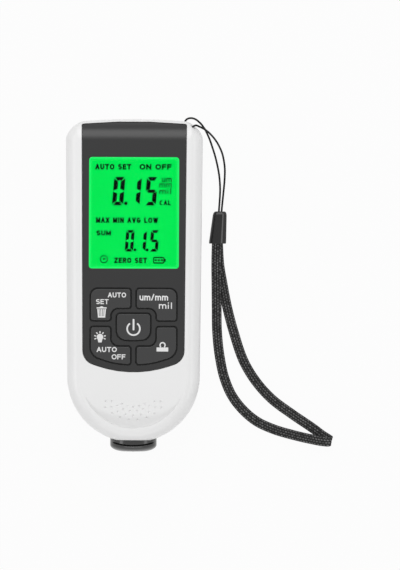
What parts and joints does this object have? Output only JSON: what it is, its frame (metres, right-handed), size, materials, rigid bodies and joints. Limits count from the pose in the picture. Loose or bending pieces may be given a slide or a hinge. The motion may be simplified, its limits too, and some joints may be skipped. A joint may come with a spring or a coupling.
{
  "type": "coating thickness gauge",
  "caption": "Hand-held coating thickness gauge with backlit display, sprung keys, sprung probe at its lower end, sliding battery cover and a wrist strap, lying on its back",
  "frame": {"origin": "middle of the back face's plane, under the middle of the gauge", "axes": "+X right as seen from the front, +Y along the gauge to its top end, +Z out of the display"},
  "size_m": [0.0982, 0.1225, 0.0262],
  "materials": {
    "white_case": "satin moulded",
    "dark_panel": "satin",
    "key_grey": "satin",
    "window": "clear",
    "display": "backlit green",
    "light_guide": "clear",
    "frame_plastic": "moulded",
    "elastomer": "matte",
    "board": "solder mask",
    "black_plastic": "moulded",
    "gloss_black": "gloss",
    "steel": "plated",
    "copper": "enamelled wire",
    "cell_jacket": "printed sleeve",
    "braid": "woven"
  },
  "bodies": {
    "case": {"front_case": "white_case", "back_case": "white_case", "face_panel": "dark_panel", "display_window": "window", "display_glass": "display", "backlight": "light_guide", "display_frame": "frame_plastic", "zebra_strip": "elastomer", "circuit_board": "board", "main_chip": "black_plastic", "switch_housings": "black_plastic", "probe_collar": "gloss_black", "probe_spring": "steel", "battery_left": "cell_jacket", "battery_right": "cell_jacket", "battery_springs": "steel", "battery_contacts": "steel", "case_screws": "steel", "board_screws": "steel", "cord_loop": "braid", "strap_clip": "gloss_black", "wrist_strap": "braid"},
    "mode_key": {"key_mode": "key_grey", "plunger_mode": "black_plastic"},
    "units_key": {"key_units": "key_grey", "plunger_units": "black_plastic"},
    "light_key": {"key_light": "key_grey", "plunger_light": "black_plastic"},
    "zero_key": {"key_zero": "key_grey", "plunger_zero": "black_plastic"},
    "power_key": {"key_power": "key_grey", "plunger_power": "black_plastic"},
    "probe": {"probe_head": "gloss_black", "sensor_core": "steel", "coil_bobbin": "frame_plastic", "sensor_coil": "copper", "probe_cap": "black_plastic", "retaining_clip": "steel"},
    "cover": {"battery_cover": "white_case"}
  },
  "joints": [
    {"name": "mode_press", "type": "slide", "parent": "case", "child": "mode_key", "axis": [0, 0, -1], "range_m": [0, 0.0005], "stiffness_N_per_m": 600, "springref_m": -0.0006},
    {"name": "units_press", "type": "slide", "parent": "case", "child": "units_key", "axis": [0, 0, -1], "range_m": [0, 0.0005], "stiffness_N_per_m": 600, "springref_m": -0.0006},
    {"name": "light_press", "type": "slide", "parent": "case", "child": "light_key", "axis": [0, 0, -1], "range_m": [0, 0.0005], "stiffness_N_per_m": 600, "springref_m": -0.0006},
    {"name": "zero_press", "type": "slide", "parent": "case", "child": "zero_key", "axis": [0, 0, -1], "range_m": [0, 0.0005], "stiffness_N_per_m": 600, "springref_m": -0.0006},
    {"name": "power_press", "type": "slide", "parent": "case", "child": "power_key", "axis": [0, 0, -1], "range_m": [0, 0.0005], "stiffness_N_per_m": 600, "springref_m": -0.0006},
    {"name": "probe_press", "type": "slide", "parent": "case", "child": "probe", "axis": [0, 1, 0], "range_m": [0, 0.001], "stiffness_N_per_m": 400, "springref_m": -0.001, "deforming": ["probe_spring"]},
    {"name": "cover_slide", "type": "slide", "parent": "case", "child": "cover", "axis": [0, 1, 0], "range_m": [0, 0.064]}
  ]
}
